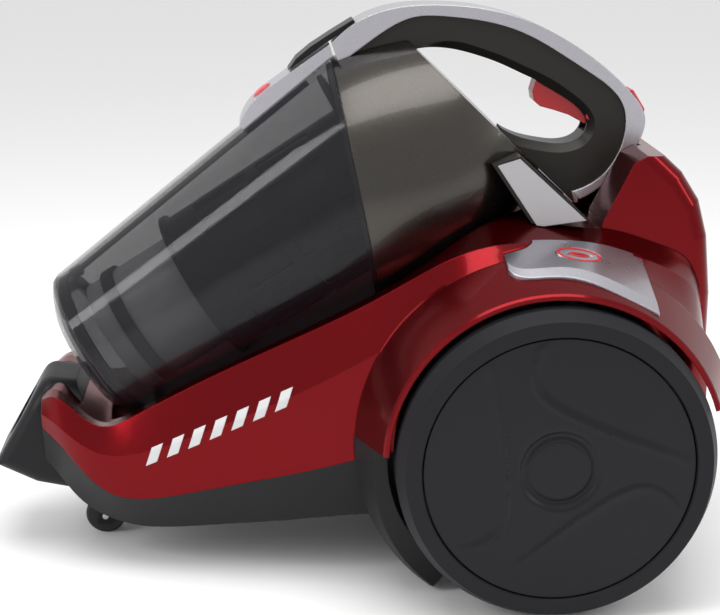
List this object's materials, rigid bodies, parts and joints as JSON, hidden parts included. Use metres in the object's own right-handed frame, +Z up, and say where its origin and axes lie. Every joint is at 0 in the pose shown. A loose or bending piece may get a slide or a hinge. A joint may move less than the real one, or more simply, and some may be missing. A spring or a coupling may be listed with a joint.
{
  "type": "canister vacuum cleaner",
  "caption": "Bagless canister vacuum cleaner with large side wheels, a tilted clear dust bin with a bottom door, a looped carrying handle and a hose inlet collar.",
  "frame": {"origin": "on the floor, at the middle of the overall length and width", "axes": "-X towards the hose inlet at the front, +Y towards the right side, +Z up"},
  "size_m": [0.443, 0.31, 0.34],
  "materials": {
    "body_red": "gloss",
    "chassis_grey": "satin",
    "collar_black": "satin",
    "smoked_clear": "gloss",
    "head_bronze": "gloss",
    "grip_grey": "satin",
    "silver": "satin",
    "pale_grey": "satin",
    "black_plastic": "satin",
    "wheel_grey": "satin",
    "tyre": "matt",
    "rubber": "matt",
    "button_red": "satin",
    "smoked_inner": "gloss",
    "steel": "satin",
    "filter_foam": "matt",
    "copper_winding": "satin",
    "board_green": "satin"
  },
  "bodies": {
    "body": {"air_seals": "rubber", "axle_clips": "steel", "body_screws": "steel", "circuit_board": "board_green", "cord_outlet_gland": "rubber", "exhaust_filter": "filter_foam", "fan_cover": "steel", "inlet_collar": "collar_black", "inlet_duct": "black_plastic", "lower_chassis": "chassis_grey", "motor_bearings": "steel", "motor_housing": "steel", "motor_mounts": "rubber", "motor_plenum": "black_plastic", "motor_stator": "steel", "rear_housing": "body_red", "reel_bracket": "steel", "shoulder_trims": "silver", "upper_body": "body_red", "wheel_arches": "body_red", "wheel_axles": "steel"},
    "power_button": {"power_button": "silver"},
    "rewind_button": {"rewind_button": "silver"},
    "wheel_left": {"tyre_left": "tyre", "wheel_rim_left": "wheel_grey", "wheel_cover_left": "wheel_grey"},
    "wheel_right": {"tyre_right": "tyre", "wheel_rim_right": "wheel_grey", "wheel_cover_right": "wheel_grey"},
    "caster": {"caster_fork": "black_plastic", "caster_axle": "steel"},
    "caster_roller": {"caster_wheel": "rubber"},
    "motor_shaft": {"motor_rotor": "copper_winding", "impeller": "steel"},
    "cord_reel": {"cord_reel_drum": "black_plastic"},
    "exhaust_flap": {"exhaust_door": "body_red"},
    "dust_bin": {"bin_cup": "smoked_clear", "dust_tube": "smoked_inner", "tube_seal": "rubber", "shroud": "black_plastic", "shroud_mesh": "steel", "cyclone_insert": "black_plastic", "cyclone_head": "head_bronze", "head_seal": "rubber", "filter_frame": "black_plastic", "pre_motor_filter": "filter_foam", "side_wings": "head_bronze", "side_panels": "pale_grey", "handle_grip": "grip_grey", "handle_strip": "silver", "cup_strip": "silver", "door_hinge_pin": "steel"},
    "bin_door": {"bin_door": "smoked_clear", "door_seal": "rubber"},
    "cup_latch": {"cup_latch": "black_plastic"},
    "cup_button": {"cup_release_button": "button_red"},
    "trigger": {"trigger": "button_red"},
    "door_release": {"door_latch": "black_plastic"},
    "bin_release": {"bin_release_button": "button_red"}
  },
  "joints": [
    {"name": "wheel_left_spin", "type": "hinge", "parent": "body", "child": "wheel_left", "pos_m": [0.1135, -0.138, 0.092], "axis": [0, 1, 0], "continuous": true},
    {"name": "wheel_right_spin", "type": "hinge", "parent": "body", "child": "wheel_right", "pos_m": [0.1135, 0.138, 0.092], "axis": [0, 1, 0], "continuous": true},
    {"name": "caster_swivel", "type": "hinge", "parent": "body", "child": "caster", "pos_m": [-0.148, 0, 0.035], "axis": [0, 0, 1], "continuous": true},
    {"name": "caster_roll", "type": "hinge", "parent": "caster", "child": "caster_roller", "pos_m": [-0.156, 0, 0.013], "axis": [0, 1, 0], "continuous": true},
    {"name": "bin_lift", "type": "slide", "parent": "body", "child": "dust_bin", "axis": [0, 0, 1], "range_m": [0, 0.25]},
    {"name": "door_swing", "type": "hinge", "parent": "dust_bin", "child": "bin_door", "pos_m": [-0.12165, 0, 0.07542], "axis": [0, -1, 0], "range_deg": [0, 100]},
    {"name": "trigger_pull", "type": "hinge", "parent": "dust_bin", "child": "trigger", "pos_m": [0.151, 0, 0.271], "axis": [0, 1, 0], "range_deg": [0, 7], "stiffness_Nm_per_rad": 0.8, "springref_deg": -5.73},
    {"name": "door_release_slide", "type": "slide", "parent": "dust_bin", "child": "door_release", "axis": [0.7789, 0, 0.6272], "range_m": [0, 0.003]},
    {"name": "cup_latch_slide", "type": "slide", "parent": "dust_bin", "child": "cup_latch", "axis": [-0.8181, 0, -0.5751], "range_m": [0, 0.004], "stiffness_N_per_m": 300, "springref_m": -0.002},
    {"name": "cup_button_press", "type": "slide", "parent": "dust_bin", "child": "cup_button", "axis": [0.6402, 0, -0.7682], "range_m": [0, 0.002], "stiffness_N_per_m": 350, "springref_m": -0.002},
    {"name": "bin_release_press", "type": "slide", "parent": "dust_bin", "child": "bin_release", "axis": [-0.8412, 0, -0.5408], "range_m": [0, 0.003], "stiffness_N_per_m": 350, "springref_m": -0.002},
    {"name": "power_press", "type": "slide", "parent": "body", "child": "power_button", "axis": [-0.1601, 0.3001, -0.9404], "range_m": [0, 0.0025], "stiffness_N_per_m": 350, "springref_m": -0.002},
    {"name": "rewind_press", "type": "slide", "parent": "body", "child": "rewind_button", "axis": [-0.1601, -0.3001, -0.9404], "range_m": [0, 0.0025], "stiffness_N_per_m": 350, "springref_m": -0.002},
    {"name": "motor_spin", "type": "hinge", "parent": "body", "child": "motor_shaft", "pos_m": [0.108, -0.042, 0.094], "axis": [1, 0, 0], "continuous": true},
    {"name": "reel_spin", "type": "hinge", "parent": "body", "child": "cord_reel", "pos_m": [0.125, 0.039, 0.097], "axis": [0, 1, 0], "continuous": true},
    {"name": "exhaust_flap_swing", "type": "hinge", "parent": "body", "child": "exhaust_flap", "pos_m": [0.2195, 0, 0.1595], "axis": [0, -1, 0], "range_deg": [0, 60]}
  ],
  "couplings": [
    {"joint": "door_swing", "follows": "bin_lift", "rad_per_m": 6.9813},
    {"joint": "door_release_slide", "follows": "trigger_pull", "m_per_rad": 0.023737}
  ]
}
